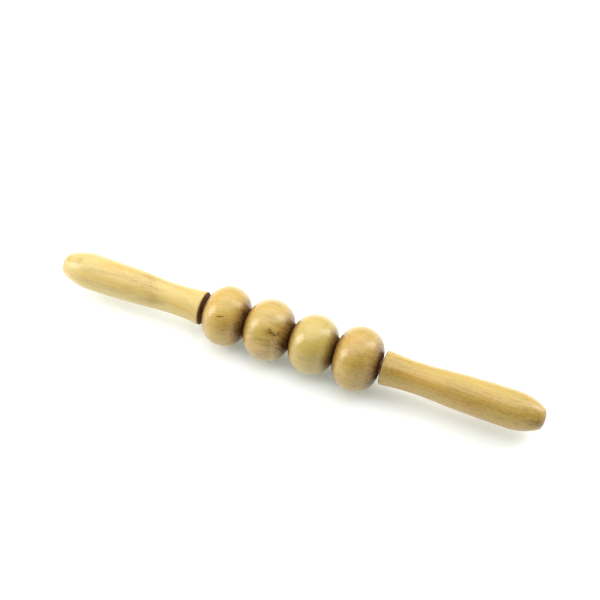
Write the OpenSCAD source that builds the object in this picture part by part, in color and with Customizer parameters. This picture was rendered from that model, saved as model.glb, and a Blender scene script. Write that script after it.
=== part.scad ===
// Wooden massage roller: two turned handles on one dowel, with four round beads that spin between them.
// The dowel lies along X. The origin is midway between the handles, level with the largest bead's underside.

/* [Handles] */
// Length of each handle
handle_length = 103; // [90:0.5:120]
// Diameter of the waist, the thinnest place
waist_diameter = 20.1; // [19:0.1:21]
// Distance of the waist from the inner face
waist_place = 22; // [18:1:26]
// Radius of the hollow curve through the waist
waist_curve = 160; // [120:5:180]
// Diameter of the belly, which fills the palm
belly_diameter = 24.4; // [23:0.1:24.6]
// Distance from the belly's widest place to the end of the handle
tip_length = 20.5; // [19:0.5:22]
// Radius of the curve from the belly to the nose
tip_curve = 36; // [32:1:40]
// Radius of the round nose
nose_radius = 11.5; // [11.5:0.1:12.5]
// Diameter of the small flat on the nose
nose_flat = 6; // [4:0.5:9]
// Bevel round the inner face
face_bevel = 0.8; // [0.4:0.1:1.5]

/* [Beads] */
// Diameter of each bead, from the left handle to the right
bead_diameters = [39.8, 40.4, 39.2, 42]; // [38:0.2:44]
// Width of each bead along the dowel
bead_widths = [28, 30.6, 29.8, 29.4]; // [26:0.5:32]
// Gap from one bead to the next
bead_gap = 0.3; // [0.2:0.1:0.8]
// Free space between the left handle and the first bead
left_play = 2.2; // [1:0.1:4]
// Free space between the last bead and the right handle
right_play = 1.9; // [0.4:0.1:4]

/* [Dowel] */
// Diameter of the dowel
dowel_diameter = 10; // [8:0.5:11]
// Length of dowel glued into each handle
dowel_grip = 35; // [20:1:45]
// Room between the dowel and a bead's bore, all round
running_clearance = 0.08; // [0.04:0.01:0.1]
// Bevel at the dowel's ends
dowel_bevel = 1; // [0.4:0.1:2]
// Bevel at the mouths of the bores
bore_bevel = 0.6; // [0.3:0.1:1]

/* [Hidden] */

pale_wood = [0.88, 0.77, 0.50];
warm_wood = [0.84, 0.70, 0.43];
dowel_wood = [0.78, 0.66, 0.45];

beads = len(bead_widths);
glue_pocket = 1;
glue_line = 0.02;
turn_steps = 96;
arc_steps = 360;

// Sum of the first n widths
function sum_widths(n) = n == 0 ? 0 : bead_widths[n - 1] + sum_widths(n - 1);

row_length = left_play + sum_widths(beads) + (beads - 1) * bead_gap + right_play;
inner_face = row_length / 2;
axis_height = max(bead_diameters) / 2;

// Centre of bead n along the dowel
function bead_place(n) = -inner_face + left_play + sum_widths(n - 1) + (n - 1) * bead_gap + bead_widths[n - 1] / 2;

// The handle's outline is four arcs: the hollow waist, the long belly, the tip and the nose. Their centres
// are pairs, [distance from the axis, distance from the inner face]. The first three meet smoothly.
waist_r = waist_diameter / 2;
belly_r = belly_diameter / 2;
rise = belly_r - waist_r;
belly_place = handle_length - tip_length;
run = belly_place - waist_place;
belly_curve = (run ^ 2 + rise ^ 2) / (2 * rise) - waist_curve;
belly_start = waist_place + run * waist_curve / (waist_curve + belly_curve);
waist_centre = [waist_r + waist_curve, waist_place];
belly_centre = [belly_r - belly_curve, belly_place];
tip_centre = [belly_r - tip_curve, belly_place];
nose_centre = [0, handle_length - sqrt(nose_radius ^ 2 - (nose_flat / 2) ^ 2)];
face_r = waist_centre.x - sqrt(waist_curve ^ 2 - waist_place ^ 2);

// Spin an outline drawn as [distance from the axis, distance along it] round the X axis
module turn() {
    rotate([0, 90, 0]) rotate_extrude($fn = turn_steps) children();
}

// A disc in an outline
module disc(centre, radius) {
    translate(centre) circle(r = radius, $fn = arc_steps);
}

// The band of an outline between two distances from the inner face
module band(from, to) {
    polygon([[0, from], [belly_diameter, from], [belly_diameter, to], [0, to]]);
}

// A square on its corner, which bevels the corner it is centred on
module bevel(place, size) {
    translate(place) rotate(45) square(sqrt(2) * size, center = true);
}

module handle_outline() {
    difference() {
        union() {
            difference() {
                band(0, belly_start);
                disc(waist_centre, waist_curve);
            }
            intersection() {
                band(belly_start, belly_place);
                disc(belly_centre, belly_curve);
            }
            intersection() {
                band(belly_place, handle_length);
                disc(tip_centre, tip_curve);
                union() {
                    band(belly_place, nose_centre.y);
                    disc(nose_centre, nose_radius);
                }
            }
        }
        bevel([face_r, 0], face_bevel);
        // Socket for the dowel, with a pocket for spare glue
        square([dowel_diameter / 2 + glue_line, dowel_grip + glue_pocket]);
    }
}

module handle() {
    turn() handle_outline();
}

module bead(n) {
    radius = bead_diameters[n - 1] / 2;
    width = bead_widths[n - 1];
    rim_centre = radius - width / 2;
    bore = dowel_diameter / 2 + running_clearance;
    color(n < beads ? pale_wood : warm_wood)
    translate([bead_place(n), 0, axis_height])
    turn() difference() {
        union() {
            disc([rim_centre, 0], width / 2);
            translate([0, -width / 2]) square([max(rim_centre, bore), width]);
        }
        translate([-width, -width]) square([width + bore, 2 * width]);
        for (side = [-1, 1]) bevel([bore, side * width / 2], bore_bevel);
    }
}

module left_handle() {
    color(pale_wood)
    translate([-inner_face, 0, axis_height]) mirror([1, 0, 0]) handle();
}

module right_handle() {
    color(warm_wood)
    translate([inner_face, 0, axis_height]) handle();
}

module axle() {
    half = inner_face + dowel_grip;
    radius = dowel_diameter / 2;
    color(dowel_wood)
    translate([0, 0, axis_height])
    turn() polygon([
        [0, -half], [radius - dowel_bevel, -half], [radius, dowel_bevel - half],
        [radius, half - dowel_bevel], [radius - dowel_bevel, half], [0, half]
    ]);
}

left_handle();
right_handle();
axle();
bead(1);  // bead_1
bead(2);  // bead_2
bead(3);  // bead_3
bead(4);  // bead_4
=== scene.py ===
# Looks of the wooden massage roller: turned pieces in lacquered wood on a white table.
# Lengths are in metres, and in mm inside the wood's patterns.
import math
from collections import namedtuple

import bmesh
import bpy
import numpy as np
from mathutils import Euler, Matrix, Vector, noise


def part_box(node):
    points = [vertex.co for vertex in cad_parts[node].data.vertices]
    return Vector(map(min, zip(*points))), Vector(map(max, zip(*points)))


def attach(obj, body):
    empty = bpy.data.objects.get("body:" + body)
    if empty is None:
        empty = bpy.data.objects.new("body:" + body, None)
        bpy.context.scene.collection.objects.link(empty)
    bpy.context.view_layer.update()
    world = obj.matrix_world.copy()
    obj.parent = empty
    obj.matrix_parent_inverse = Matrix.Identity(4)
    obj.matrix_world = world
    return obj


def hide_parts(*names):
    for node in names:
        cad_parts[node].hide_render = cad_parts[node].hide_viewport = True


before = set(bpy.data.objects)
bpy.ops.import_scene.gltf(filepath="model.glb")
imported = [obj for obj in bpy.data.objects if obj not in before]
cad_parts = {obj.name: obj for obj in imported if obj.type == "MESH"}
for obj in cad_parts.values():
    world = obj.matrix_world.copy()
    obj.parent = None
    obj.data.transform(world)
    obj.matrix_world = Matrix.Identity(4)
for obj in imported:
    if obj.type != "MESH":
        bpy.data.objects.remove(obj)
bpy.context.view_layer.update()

MM = 0.001

# The handle's outline, as in the CAD. Its length and the belly's radius come from the frame.
WAIST_R = 10.05 * MM
WAIST_PLACE = 22 * MM
WAIST_CURVE = 160 * MM
TIP_LENGTH = 20.5 * MM
TIP_CURVE = 36 * MM
NOSE_R = 11.5 * MM
NOSE_FLAT_R = 3 * MM
SOCKET_R = 5.02 * MM
SOCKET_DEPTH = 36 * MM
FACE_BEVEL = 0.8 * MM
SIDE_POINTS = 500

# The beads' bores and rims
BORE_R = 5.08 * MM
BORE_BEVEL = 0.6 * MM
RIM_POINTS = 400

# Lathe work: the steps along an outline, how far its corners are rounded, and how true the wood has stayed
FINE_STEP = 0.1 * MM
ROW_STEP = 0.6 * MM
EDGE_ROUND = 0.4 * MM
NOSE_ROUND = 3 * MM
BLUNT_REACH = TIP_LENGTH / 2
SEGMENTS = 160
OUT_OF_ROUND = 0.08 * MM
WAVINESS = 0.06 * MM
WAVE_SIZE = 14 * MM
SAME_PLACE = 0.001 * MM

# A drying crack in the first bead, as (place along the bead, angle from the top towards the front)
CRACK_FROM = (-0.7 * MM, 39.5)
CRACK_TO = (3.6 * MM, 35.6)
CRACK_DEPTH = 0.9 * MM
CRACK_HALF_WIDTH = 0.4 * MM
CRACK_BEND = 0.25 * MM
CRACK_BEND_TURN = 5
CRACK_STEEPNESS = 0.7

# The finer mesh round the crack, on the outside of the bead only
FINE_ABOVE_R = 11.5 * MM
FINE_MARGIN = 1 * MM
FINE_MARGIN_ANGLE = 3
FINE_ROW_STEP = 0.12 * MM
FINE_SEGMENT = 0.3

axle_low, axle_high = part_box("axle")
AXIS_Z = (axle_low.z + axle_high.z) / 2


# ---------------------------------------------------------------- outlines
# An outline is a line of (distance along the axis, radius), which a lathe turns round the axis.

def handle_outline(length, belly_r):
    """From the middle of the nose's flat, over the belly and waist, to the bottom of the dowel's socket."""
    belly = length - TIP_LENGTH
    rise = belly_r - WAIST_R
    run = belly - WAIST_PLACE
    belly_curve = (run ** 2 + rise ** 2) / (2 * rise) - WAIST_CURVE
    belly_start = WAIST_PLACE + run * WAIST_CURVE / (WAIST_CURVE + belly_curve)
    nose = length - math.sqrt(NOSE_R ** 2 - NOSE_FLAT_R ** 2)

    def radius(along):
        if along < belly_start:
            return WAIST_R + WAIST_CURVE - math.sqrt(WAIST_CURVE ** 2 - (along - WAIST_PLACE) ** 2)
        curve = belly_curve if along < belly else TIP_CURVE
        side = belly_r - curve + math.sqrt(curve ** 2 - (along - belly) ** 2)
        if along < nose:
            return side
        return min(side, math.sqrt(NOSE_R ** 2 - (along - nose) ** 2))

    crowded_at_nose = length * np.cos(np.linspace(0, math.pi / 2, SIDE_POINTS))
    side = [(a, radius(a)) for a in crowded_at_nose if a > FACE_BEVEL]
    face_r = radius(0)
    return (
        [(length, 0)] + side
        + [(0, face_r - FACE_BEVEL), (0, SOCKET_R), (SOCKET_DEPTH, SOCKET_R), (SOCKET_DEPTH, 0)]
    )


def bead_outline(width, radius):
    """Once round the bead's section: over its full-round rim, then back through the bore."""
    half = width / 2
    rim = radius - half
    mouth = BORE_R + BORE_BEVEL
    start = math.asin(max(0, mouth - rim) / half)
    turn = np.linspace(start, math.pi - start, RIM_POINTS)
    over = [(-half * math.cos(t), rim + half * math.sin(t)) for t in turn]
    reach = over[-1][0]
    back = [(reach, mouth), (reach - BORE_BEVEL, BORE_R), (BORE_BEVEL - reach, BORE_R), (-reach, mouth)]
    return over + back


def softened(points, closed, reach):
    """The outline at fine even steps, with its corners rounded as far as reach on either side."""
    line = np.array(points + points[:1] if closed else points)
    length = np.concatenate([[0], np.cumsum(np.hypot(*np.diff(line, axis=0).T))])
    even = np.linspace(0, length[-1], int(length[-1] / FINE_STEP), endpoint=not closed)
    line = np.column_stack([np.interp(even, length, line[:, k]) for k in (0, 1)])
    spread = round(reach / FINE_STEP)
    weights = np.hanning(2 * spread + 3)[1:-1]
    weights /= weights.sum()
    if closed:
        line = np.vstack([line[-spread:], line, line[:spread]])
    else:
        past_axis = np.array([1, -1])
        line = np.vstack([line[spread:0:-1] * past_axis, line, line[-2:-spread - 2:-1] * past_axis])
    return np.column_stack([np.convolve(line[:, k], weights, "valid") for k in (0, 1)])


def rounded_handle(length, belly_r):
    """The handle's outline, with the nose rounded more than the other corners."""
    outline = handle_outline(length, belly_r)
    crisp, blunt = (softened(outline, False, reach) for reach in (EDGE_ROUND, NOSE_ROUND))
    from_end = length - crisp[:, :1]
    share = np.clip(1 - from_end / BLUNT_REACH, 0, 1)
    return crisp * (1 - share) + blunt * share


def thinned(line, step_at):
    """Every point of the outline that is a step further on, where step_at(along, radius) gives the step."""
    kept = [line[0]]
    gone = 0
    for before, point in zip(line, line[1:]):
        gone += math.hypot(*(point - before))
        if gone >= step_at(*point):
            kept.append(point)
            gone = 0
    return kept


def near_crack(along, radius):
    return radius > FINE_ABOVE_R and CRACK_FROM[0] - FINE_MARGIN < along < CRACK_TO[0] + FINE_MARGIN


def column_angles(cracked=False):
    """Angles of a turned mesh's columns in degrees, closer together at the crack."""
    plain = list(np.arange(SEGMENTS) * 360 / SEGMENTS)
    if not cracked:
        return plain
    low, high = CRACK_TO[1] - FINE_MARGIN_ANGLE, CRACK_FROM[1] + FINE_MARGIN_ANGLE
    return sorted([a for a in plain if not low < a < high] + list(np.arange(low, high, FINE_SEGMENT)))


def crack_depth(along, angle, radius):
    """How far the crack goes in below a point of the surface."""
    start = np.array([CRACK_FROM[0], math.radians(CRACK_FROM[1]) * radius])
    end = np.array([CRACK_TO[0], math.radians(CRACK_TO[1]) * radius])
    point = np.array([along, math.radians(angle) * radius])
    way = end - start
    share = np.clip((point - start) @ way / (way @ way), 0, 1)
    middle = start + share * way
    middle[1] += CRACK_BEND * math.sin(share * CRACK_BEND_TURN)
    half = CRACK_HALF_WIDTH * math.sqrt(max(1e-6, 4 * share * (1 - share)))
    off = np.linalg.norm(point - middle) / half
    return CRACK_DEPTH * max(0, 1 - off ** 2) ** CRACK_STEEPNESS


# ---------------------------------------------------------------- lathe

def turned(name, line, closed, flip, seed, cracked=False):
    """A solid turned round the X axis through its own origin. closed joins the outline's end to its start,
    and flip turns the solid end for end."""
    angles = column_angles(cracked)
    inner, outer = BORE_R, max(r for a, r in line)
    verts = []
    for along, radius in line:
        free = max(0, (radius - inner) / (outer - inner))
        for angle in angles:
            a = math.radians(angle)
            out = Vector((along, -math.sin(a) * radius, math.cos(a) * radius))
            wave = noise.noise((out + Vector((seed, 0, 0))) / WAVE_SIZE)
            sunk = OUT_OF_ROUND * (1 - math.cos(2 * a + seed)) / 2 + WAVINESS * (1 + wave) / 2
            cut = crack_depth(along, angle, radius) if cracked and near_crack(along, radius) else 0
            r = radius - free * sunk - cut
            verts.append((-along if flip else along, -math.sin(a) * r, math.cos(a) * r))
    rows, columns = len(line), len(angles)
    faces = []
    for i in range(rows if closed else rows - 1):
        for k in range(columns):
            here, beside = i * columns + k, i * columns + (k + 1) % columns
            corners = (here, 0), (beside, 0), (beside, 1), (here, 1)
            face = [(column + row * columns) % len(verts) for column, row in corners]
            faces.append(face if flip else face[::-1])
    mesh = bpy.data.meshes.new(name)
    mesh.from_pydata(verts, [], faces)
    bm = bmesh.new()
    bm.from_mesh(mesh)
    bmesh.ops.remove_doubles(bm, verts=bm.verts, dist=SAME_PLACE)
    bmesh.ops.recalc_face_normals(bm, faces=bm.faces)
    for face in bm.faces:
        face.smooth = True
    bm.to_mesh(mesh)
    bm.free()
    piece = bpy.data.objects.new(name, mesh)
    bpy.context.scene.collection.objects.link(piece)
    return piece


def make_handle(node, material):
    low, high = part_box(node)
    left = high.x < 0
    inner_face = high.x if left else low.x
    line = rounded_handle(high.x - low.x, (high.y - low.y) / 2)
    rows = thinned(line, lambda along, radius: ROW_STEP)
    off_axis = [(along, radius) for along, radius in rows if abs(radius) > FINE_STEP / 2]
    line = [(line[0][0], 0)] + off_axis + [(line[-1][0], 0)]
    piece = turned(node + "_turned", line, closed=False, flip=left, seed=inner_face / MM)
    piece.location = (inner_face, 0, AXIS_Z)
    finish(piece, "stick", node, material)


def make_bead(node, material):
    low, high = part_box(node)
    cracked = node == "bead_1"
    line = softened(bead_outline(high.x - low.x, (high.y - low.y) / 2), True, EDGE_ROUND)
    rows = thinned(line, lambda a, r: FINE_ROW_STEP if cracked and near_crack(a, r) else ROW_STEP)
    piece = turned(node + "_turned", rows, closed=True, flip=False, seed=low.x / MM, cracked=cracked)
    piece.location = ((low.x + high.x) / 2, 0, AXIS_Z)
    finish(piece, node, node, material)


def finish(piece, body, node, material):
    piece.data.materials.append(material)
    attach(piece, body)
    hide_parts(node)


# ---------------------------------------------------------------- wood

def srgb(red, green, blue):
    """A colour from 0 to 255 as the light it reflects."""
    shares = [c / 255 for c in (red, green, blue)]
    return tuple(s / 12.92 if s <= 0.04045 else ((s + 0.055) / 1.055) ** 2.4 for s in shares) + (1,)


class Graph:
    """Short calls that build the nodes of a material or a world."""

    def __init__(self, owner):
        owner.use_nodes = True
        self.owner = owner
        self.tree = owner.node_tree
        self.tree.nodes.clear()

    def node(self, kind, inputs=(), **settings):
        node = self.tree.nodes.new("ShaderNode" + kind)
        for key, value in settings.items():
            setattr(node, key, value)
        for key, value in dict(inputs).items():
            self.feed(value, node.inputs[key])
        return node

    def feed(self, value, socket):
        if isinstance(value, bpy.types.NodeSocket):
            self.tree.links.new(value, socket)
        else:
            socket.default_value = value

    def math(self, operation, a, b=0.0):
        return self.node("Math", {0: a, 1: b}, operation=operation).outputs[0]

    def vector(self, operation, a, b=(0, 0, 0)):
        node = self.node("VectorMath", {0: a, 1: b}, operation=operation)
        return node.outputs["Value" if operation in ("LENGTH", "DOT_PRODUCT") else "Vector"]

    def part(self, vector, axis):
        return self.node("SeparateXYZ", {0: vector}).outputs[axis]

    def total(self, *terms):
        """Sum of (value, share) pairs."""
        result = 0.0
        for value, share in terms:
            node = self.node("Math", {0: value, 1: share, 2: result}, operation="MULTIPLY_ADD")
            result = node.outputs[0]
        return result

    def noise(self, place, size, detail, rough, shift=0.0):
        """Noise round 0, from about -1 to 1. size is how large its lumps are along each axis."""
        scaled = self.vector("DIVIDE", place, size)
        moved = self.vector("ADD", scaled, (shift, shift * 0.7, shift * 1.3))
        inputs = {"Vector": moved, "Scale": 1.0, "Detail": detail, "Roughness": rough}
        from_0_to_1 = self.node("TexNoise", inputs).outputs[0]
        return self.node("Math", {0: from_0_to_1, 1: 4.0, 2: -2.0}, operation="MULTIPLY_ADD").outputs[0]

    def ramp(self, value, low, high, to_low=0.0, to_high=1.0):
        """to_low at low, to_high at high, and a smooth rise between them."""
        inputs = {0: value, 1: low, 2: high, 3: to_low, 4: to_high}
        return self.node("MapRange", inputs, interpolation_type="SMOOTHSTEP").outputs[0]

    def mix(self, share, a, b, blend="MIX"):
        node = self.node("Mix", data_type="RGBA", blend_type=blend)
        for value, socket in ((share, node.inputs[0]), (a, node.inputs[6]), (b, node.inputs[7])):
            self.feed(value, socket)
        return node.outputs[2]

    def mixture(self, look, shares):
        """Sum of the named values in look, each times its share."""
        return self.total(*((look[name], share) for name, share in shares.items()))

    def colours(self, value, *stops):
        node = self.node("ValToRGB", {0: value})
        ramp = node.color_ramp
        while len(ramp.elements) < len(stops):
            ramp.elements.new(1.0)
        for element, (place, colour) in zip(ramp.elements, stops):
            element.position, element.color = place, colour
        return node.outputs[0]


# Light and dark tones as shares of the middle one, the colour of knots, and the dark brown of the unlacquered
# faces between the pieces, which is painted shade for the gaps
LIGHTER = (1.22, 1.2, 1.12)
DARKER = (0.58, 0.47, 0.32)
KNOT = srgb(70, 42, 20)
BARE_SHADE_BROWN = srgb(112, 70, 42)
ORANGE_DRIFT = (1.03, 0.93, 0.78, 1)
OLIVE_DRIFT = (0.96, 1.0, 0.90, 1)

# Where the light, middle, dark and knot colours lie on the scale of tones
TONE_STOPS = (0.0, 0.36, 0.72, 1.0)
PLAIN_TONE = 0.28

# Noise in the wood, as size in mm (along X, Y and Z), detail, roughness and shift from the wood's seed.
# The first table is laid along the bent fibres, the second straight.
FIGURE = {
    "cloud": ((30, 10, 10), 3, 0.6, 3),
    "streak": ((60, 2.2, 2.2), 3, 0.65, 5),
    "fibre": ((12, 0.5, 0.5), 2, 0.6, 7),
    "vessel": ((3.2, 0.22, 0.22), 0, 0.5, 11),
    "ring_wave": ((40, 8, 8), 2, 0.5, 0),
    "ring_fade": ((26, 9, 9), 1, 0.5, 15),
    "drift": ((34, 9, 9), 2, 0.5, 19),
}
GRIT = {
    "fleck": ((2.2, 1.1, 1.1), 3, 0.65, 9),
    "lathe": ((0.55, 60, 60), 2, 0.6, 13),
    "dimple": ((2.4, 2.4, 2.4), 1, 0.5, 17),
}

# The fibres lean on the lathe's axis by this many degrees, and wander this far off in mm
GRAIN_TURN = (0, 2.0, 1.4)
WANDER_SIZE = (60, 22, 22)
WANDER_REACH = (0, 6, 6)

# Growth rings: how far they waver, where a year's dark end stops, how faint they get, the shade of a patch at
# which they are gone and at which they are whole, and how fast the noise that tones the years changes
RING_WAVER = 0.35
YEAR_END = 0.88
FAINTEST_RING = 0.2
RINGLESS_SHADE = (0.2, 0.02)
YEAR_NOISE = (0.7, 0.7, 0.7)

# Heights in mm of the wood's skin and of the lacquer's film over it, and what makes the skin rougher
SKIN = {"lathe": 0.006, "fibre": 0.006, "late": 0.008, "pore": -0.02, "streak": 0.01}
FILM = {"dimple": 0.004, "lathe": 0.003, "fibre": 0.004, "streak": 0.006, "late": 0.02}
ROUGHER = {"streak": 0.02, "fleck": 0.03, "end_grain": 0.12, "bare": 0.2}
PLAIN_ROUGHNESS = 0.42

# A soft darker place on the surface, either in the wood's own colour or painted shade. angle is as in around,
# and the other sizes are in mm.
Patch = namedtuple("Patch", "along angle radius half_length half_width darkness")


def around(angle, radius, along=0.0):
    """A point in mm from its angle in degrees, which starts at the top and goes towards the front."""
    a = math.radians(angle)
    return (along, -math.sin(a) * radius, math.cos(a) * radius)


def shades(red, green, blue):
    """Light, middle and dark tones of one wood, from the middle one."""
    middle = srgb(red, green, blue)[:3]
    light, dark = (tuple(c * k for c, k in zip(middle, scale)) + (1,) for scale in (LIGHTER, DARKER))
    return light, middle + (1,), dark


def off_line(g, place, middle=(0, 0, 0)):
    """Distance from a line along X through middle."""
    return g.vector("LENGTH", g.vector("SUBTRACT", g.vector("MULTIPLY", place, (0, 1, 1)), middle))


def bent_grain(g, place):
    """The place as the fibres have it, so that nothing in the figure is straight."""
    inputs = {"Vector": place, "Rotation": tuple(math.radians(a) for a in GRAIN_TURN)}
    grain = g.node("VectorRotate", inputs, rotation_type="EULER_XYZ").outputs[0]
    scaled = g.vector("DIVIDE", grain, WANDER_SIZE)
    wander = g.node("TexNoise", {"Vector": scaled, "Scale": 1.0, "Detail": 1.0}).outputs["Color"]
    return g.vector("ADD", grain, g.vector("MULTIPLY", wander, WANDER_REACH))


def patched(g, place, patches):
    """How dark the patches are together."""
    shade = 0.0
    for p in patches:
        away = g.vector("SUBTRACT", place, around(p.angle, p.radius, p.along))
        away = g.vector("LENGTH", g.vector("DIVIDE", away, (p.half_length, p.half_width, p.half_width)))
        close = g.math("EXPONENT", g.math("MULTIPLY", g.math("MULTIPLY", away, away), -1.0))
        shade = g.total((close, p.darkness), (shade, 1.0))
    return shade


def growth_rings(g, bent, look, seed, pith, slope, ring, strength):
    """The dark late wood of each year, and a tone of its own for each year."""
    to_pith = off_line(g, bent, around(*pith))
    count = g.total((to_pith, 1 / ring), (g.part(bent, "X"), slope / ring), (look["ring_wave"], RING_WAVER))

    # A year darkens slowly and ends at once. The lines fade here and there, and in the dark patches.
    share_of_year = g.math("FRACT", count)
    late = g.math("MULTIPLY", g.math("POWER", share_of_year, 2.0), g.ramp(share_of_year, 1.0, YEAR_END))
    shown = g.math("MAXIMUM", g.total((look["ring_fade"], 0.5), (1.0, 1.0)), FAINTEST_RING)
    late = g.math("MULTIPLY", late, g.math("MULTIPLY", shown, strength))
    late = g.math("MULTIPLY", late, g.ramp(look["shade"], *RINGLESS_SHADE))

    year = g.node("CombineXYZ", {0: g.math("FLOOR", count), 1: seed}).outputs[0]
    return late, g.noise(year, YEAR_NOISE, 0, 0.5)


def bare_and_shaded_faces(g, place, sideways, reach_r, reach_along):
    """1 on faces that look along X, near the axis and the middle, where there is no lacquer and the colour is
    painted shade for the gaps between the pieces.
    """
    near_axis = g.ramp(off_line(g, place), reach_r * 1.25, reach_r)
    near_middle = g.ramp(g.math("ABSOLUTE", g.part(place, "X")), reach_along, reach_along * 0.6)
    return g.math("MULTIPLY", near_axis, g.math("MULTIPLY", g.ramp(sideways, 0.4, 0.8), near_middle))


def bumped(g, look, heights):
    return g.node("Bump", {"Height": g.mixture(look, heights), "Strength": 1.0, "Distance": MM}).outputs[0]


def wood(name, seed, tones, pith, slope, ring, figure=1.0, rings=1.0, spots=0.0, patches=(),
         end_tint=0.6, bare_shaded_r=8.0, bare_shaded_reach=99.0, lacquer=0.7, offset=(0, 0, 0)):
    """Lacquered wood whose grain runs along X.

    pith is the angle and the distance in mm of the tree's heart, and slope how fast the rings climb along X.
    ring is a year's width in mm. figure, rings and spots are the strengths of the clouds and streaks, of
    the year lines and of the flecks. end_tint darkens the end grain. lacquer is how much of it there is, but
    faces that look along X have none within bare_shaded_r of the axis and bare_shaded_reach of the middle,
    both in mm, and there they are painted dark brown as shade for the gaps between the pieces.
    """
    g = Graph(bpy.data.materials.new(name))
    texture = g.node("TexCoord")
    place = g.vector("SUBTRACT", g.vector("MULTIPLY", texture.outputs["Object"], (1 / MM,) * 3), offset)
    bent = bent_grain(g, place)
    sideways = g.math("ABSOLUTE", g.part(texture.outputs["Normal"], "X"))

    look = {}
    for space, layers in ((bent, FIGURE), (place, GRIT)):
        for layer, (size, detail, rough, shift) in layers.items():
            look[layer] = g.noise(space, size, detail, rough, seed + shift)
    look["pore"] = g.ramp(look["vessel"], 1.0, 1.5)
    look["end_grain"] = g.ramp(sideways, 0.5, 0.98)
    look["shade"] = patched(g, place, patches)
    look["late"], look["years"] = growth_rings(g, bent, look, seed, pith, slope, ring, rings)
    look["bare"] = bare_and_shaded_faces(g, place, sideways, bare_shaded_r, bare_shaded_reach)

    tone = g.total((g.mixture(look, {
        "cloud": 0.15 * figure, "streak": 0.13 * figure, "fibre": 0.07, "late": 0.22, "years": 0.06 * rings,
        "fleck": 0.04 + spots, "pore": 0.12, "end_grain": end_tint,
    }), 1.0), (PLAIN_TONE - 0.05 * rings, 1.0))
    patchy = g.total((look["streak"], 0.25), (look["fleck"], 0.4), (1.0, 1.0))
    tone = g.total((g.math("MULTIPLY", look["shade"], patchy), 1.0), (tone, 1.0))
    colour = g.colours(tone, *zip(TONE_STOPS, tones + (KNOT,)))
    colour = g.mix(g.ramp(look["drift"], 0.0, 1.0), colour, ORANGE_DRIFT, "MULTIPLY")
    colour = g.mix(g.ramp(look["drift"], 0.0, -1.0), colour, OLIVE_DRIFT, "MULTIPLY")
    # Painted shade: the unlacquered faces between the pieces take a dark brown, for the dark gaps
    colour = g.mix(g.math("MULTIPLY", look["bare"], 0.85), colour, BARE_SHADE_BROWN)

    shader = g.node("BsdfPrincipled", {
        "Base Color": colour, "Normal": bumped(g, look, SKIN), "Specular IOR Level": 0.2,
        "Roughness": g.total((g.mixture(look, ROUGHER), 1.0), (PLAIN_ROUGHNESS, 1.0)),
        "Coat Weight": g.ramp(look["bare"], 0.6, 0.1, 0.0, lacquer), "Coat Normal": bumped(g, look, FILM),
        "Coat Roughness": 0.24, "Coat IOR": 1.5,
    })
    g.node("OutputMaterial", {"Surface": shader.outputs[0]})
    return g.owner


def left_handle_wood():
    return wood(
        "left_handle_wood", seed=1.0, tones=shades(196, 173, 108), pith=(200, 30), slope=0.06, ring=2.2,
        figure=0.6, rings=0.6, end_tint=0.2, bare_shaded_r=10.5, bare_shaded_reach=2.0, lacquer=0.45,
        patches=[
            Patch(-40, -15, 12, 7, 5, 0.14), Patch(-36, 14, 11, 5, 5, 0.1),
            Patch(-32, 60, 11, 7, 6, 0.2), Patch(-50, 55, 12, 12, 3, 0.14),
            # Patch(-55, 13) is painted shade that dims the band where the light falls brightest, and
            # Patch(-55, 95) is painted shade along the underside.
            Patch(-55, 13, 12, 60, 3.5, 0.12), Patch(-55, 95, 12, 60, 6, 0.1),
        ],
    )


def right_handle_wood():
    return wood(
        "right_handle_wood", seed=2.3, tones=shades(182, 152, 80), pith=(110, 45), slope=0.03, ring=2.4,
        figure=0.7, rings=0.7, spots=0.07, end_tint=0.35, bare_shaded_r=8.5, bare_shaded_reach=2.0, lacquer=0.6,
        patches=[
            Patch(52, 48, 12, 42, 4.5, 0.12), Patch(98, 52, 8.7, 4, 6, 0.26),
            # Patch(50, 100) is painted shade along the underside, Patch(88, 13) is painted shade that dims
            # the band where the light falls brightest, and Patch(88, 62) darkens the lower front towards the
            # tip.
            Patch(50, 100, 12, 60, 6, 0.12), Patch(88, 13, 12, 20, 3.5, 0.1),
            Patch(88, 62, 12, 24, 8, 0.1), Patch(8, 38, 11, 10, 9, 0.2),
        ],
    )


def bead_1_wood():
    """Rings that arch over a brown dome, and painted shade along the crack."""
    return wood(
        "bead_1_wood", seed=3.1, tones=shades(184, 153, 77), pith=(76, 50), slope=-0.2, ring=1.6,
        figure=0.6, rings=0.85, spots=0.03,
        patches=[
            Patch(4, 60, 19, 6.5, 6, 0.24), Patch(-3, 88, 19, 10, 10, 0.1),
            # The two small patches in the crack are painted shade in its groove.
            Patch(0.3, 38.6, 19.9, 1.5, 0.5, 0.5), Patch(2.5, 36.6, 19.9, 1.5, 0.5, 0.5),
        ],
    )


def bead_2_wood():
    """Fine lines, and a dark streak that ends in small knots."""
    return wood(
        "bead_2_wood", seed=4.7, tones=shades(183, 155, 82), pith=(-60, 60), slope=0.2, ring=0.9,
        figure=0.8, rings=1.2, spots=0.03, lacquer=0.8,
        patches=[
            Patch(5.2, 36, 19.3, 6, 1.4, 0.26), Patch(8.4, 40, 17.7, 1.6, 1.2, 0.34),
            Patch(5.0, 32, 19.3, 1.4, 0.8, 0.3), Patch(10.3, 34, 16.2, 1.6, 1.2, 0.34),
            # Patch(0, 94) is painted shade on the underside.
            Patch(8, 52, 18, 8, 8, 0.24), Patch(0, 94, 20, 16, 9, 0.28), Patch(-1, 26, 20, 9, 6, 0.15),
        ],
    )


def bead_3_wood():
    """Smooth, with wide faint rings."""
    return wood(
        "bead_3_wood", seed=5.9, tones=shades(183, 159, 86), pith=(250, 80), slope=0.06, ring=3.4,
        figure=0.6, rings=0.4, spots=0.02, lacquer=0.85, patches=[Patch(0, 72, 19, 9, 9, 0.14)],
    )


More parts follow.
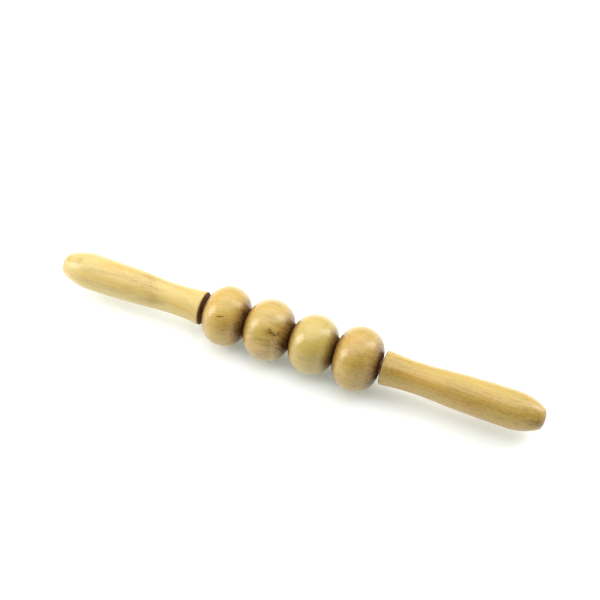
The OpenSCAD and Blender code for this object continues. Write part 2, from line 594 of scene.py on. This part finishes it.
def bead_4_wood():
    """Mottled, with wide faint rings."""
    return wood(
        "bead_4_wood", seed=6.4, tones=shades(178, 148, 77), pith=(120, 70), slope=0.07, ring=3.0,
        figure=0.6, rings=0.4, spots=0.09,
        # Patch(0, 98) is painted shade on the underside.
        patches=[Patch(4.5, 42, 20, 7, 10, 0.2), Patch(0, 98, 20, 16, 9, 0.16)],
    )


def axle_wood():
    return wood(
        # The axle's dark brown is painted shade, for the deep gaps between the pieces where it shows.
        "axle_wood", seed=7.7, tones=shades(98, 70, 46), pith=(0, 30), slope=0.02, ring=2.0, figure=0.8,
        offset=(0, 0, AXIS_Z / MM),
    )


def make_pieces():
    make_handle("left_handle", left_handle_wood())
    make_handle("right_handle", right_handle_wood())
    make_bead("bead_1", bead_1_wood())
    make_bead("bead_2", bead_2_wood())
    make_bead("bead_3", bead_3_wood())
    make_bead("bead_4", bead_4_wood())
    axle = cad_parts["axle"]
    axle.data.materials.clear()
    axle.data.materials.append(axle_wood())


# ---------------------------------------------------------------- camera, light and table

LENS = 60
AZIMUTH = 21.58
ELEVATION = 53.47
CAMERA_DISTANCE = 0.6379
LEFT_OF_MIDDLE = 0.00515
BELOW_MIDDLE = 0.02364

# Brightness of the walls, of the taller wall at the back, of the table's own glow, and of all at the horizon
WALL_LIGHT = 0.65
BACK_LIGHT = 0.75
TABLE_GLOW = 0.15
FAR_GLOW = 1.0

# Where the light from each wall ends and where it is full, as the height of a direction of length 1
WALL_TOP = (0.45, 0.12)
BACK_WALL_TOP = (0.7, 0.45)
HORIZON_TOP = (0.1, 0.0)

# The same for the back wall's sides, as how far such a direction goes back
BACK_WALL_SIDE = (0.2, 0.7)

# The table, and how far from its middle its own glow starts to grow and is full
TABLE_R = 6.0
TABLE_SIDES = 96
TABLE_WHITE = (0.93, 0.95, 0.96, 1)
NEAR_GLOW_COLOUR = (0.8, 1, 1, 1)
WHITE = (1, 1, 1, 1)
GLOW_GROWS = (0.4, 1.4)

LIGHT_DISTANCE = 0.9


def make_camera():
    """At the viewing angle, with the roller's middle a little left of and below the middle of the view."""
    data = bpy.data.cameras.new("camera")
    data.lens = LENS
    camera = bpy.data.objects.new("camera", data)
    camera.rotation_euler = Euler((math.radians(90 - ELEVATION), 0, math.radians(AZIMUTH)))
    turn = camera.rotation_euler.to_matrix()
    middle = Vector((0, 0, AXIS_Z))
    aim = middle + turn @ Vector((LEFT_OF_MIDDLE, BELOW_MIDDLE, 0))
    camera.location = aim + turn @ Vector((0, 0, CAMERA_DISTANCE))
    bpy.context.scene.collection.objects.link(camera)
    bpy.context.scene.camera = camera


def seen_directions():
    """Right and back on the table, as the camera sees them."""
    a = math.radians(AZIMUTH)
    return Vector((math.cos(a), math.sin(a), 0)), Vector((-math.sin(a), math.cos(a), 0))


def make_light(name, toward, size, power):
    """A softbox that faces the roller. toward is (right, back, up) as the camera sees it."""
    data = bpy.data.lights.new(name, "AREA")
    data.shape = "RECTANGLE"
    data.size, data.size_y = size
    data.energy = power
    lamp = bpy.data.objects.new(name, data)
    right, back = seen_directions()
    way = (right * toward[0] + back * toward[1] + Vector((0, 0, toward[2]))).normalized()
    lamp.location = way * LIGHT_DISTANCE
    lamp.rotation_euler = way.to_track_quat("Z", "Y").to_euler()
    bpy.context.scene.collection.objects.link(lamp)


def make_table():
    """A round white table, whose far parts glow as brightly as the walls, so that no horizon shows."""
    mesh = bpy.data.meshes.new("table")
    angles = np.linspace(0, math.tau, TABLE_SIDES, endpoint=False)
    rim = [(TABLE_R * math.cos(a), TABLE_R * math.sin(a), 0) for a in angles]
    mesh.from_pydata(rim, [], [range(TABLE_SIDES)])
    table = bpy.data.objects.new("table", mesh)
    bpy.context.scene.collection.objects.link(table)
    g = Graph(bpy.data.materials.new("table_white"))
    far = g.ramp(g.vector("LENGTH", g.node("TexCoord").outputs["Object"]), *GLOW_GROWS)
    shader = g.node("BsdfPrincipled", {
        "Base Color": TABLE_WHITE, "Roughness": 0.7, "Specular IOR Level": 0.2,
        "Emission Color": g.mix(far, NEAR_GLOW_COLOUR, WHITE),
        "Emission Strength": g.total((far, FAR_GLOW - TABLE_GLOW), (TABLE_GLOW, 1.0)),
    })
    g.node("OutputMaterial", {"Surface": shader.outputs[0]})
    mesh.materials.append(g.owner)


def make_world():
    """Bright low down and at the back, like a studio's pale walls, and dark above, behind the softboxes."""
    g = Graph(bpy.data.worlds.new("studio"))
    way = g.node("TexCoord").outputs["Generated"]
    rise = g.part(way, "Z")
    back = g.vector("DOT_PRODUCT", way, seen_directions()[1])
    wall = g.ramp(rise, *WALL_TOP, 0.0, WALL_LIGHT)
    back_wall = g.ramp(rise, *BACK_WALL_TOP, 0.0, BACK_LIGHT)
    back_wall = g.math("MULTIPLY", g.ramp(back, *BACK_WALL_SIDE), back_wall)
    horizon = g.ramp(rise, *HORIZON_TOP, 0.0, FAR_GLOW - WALL_LIGHT)
    light = g.total((g.math("MAXIMUM", wall, back_wall), 1.0), (horizon, 1.0))
    background = g.node("Background", {"Color": WHITE, "Strength": light})
    g.node("OutputWorld", {"Surface": background.outputs[0]})
    bpy.context.scene.world = g.owner


def make_studio():
    make_light("overhead", toward=(0, 0.28, 0.95), size=(1.3, 1.3), power=13.3)
    make_light("left", toward=(-0.87, 0.085, 0.49), size=(0.4, 0.6), power=5.6)
    make_light("right", toward=(0.80, 0.27, 0.56), size=(0.32, 0.75), power=4.3)
    make_world()
    make_table()
    bpy.context.scene.view_settings.view_transform = "Standard"


make_camera()
make_pieces()
make_studio()
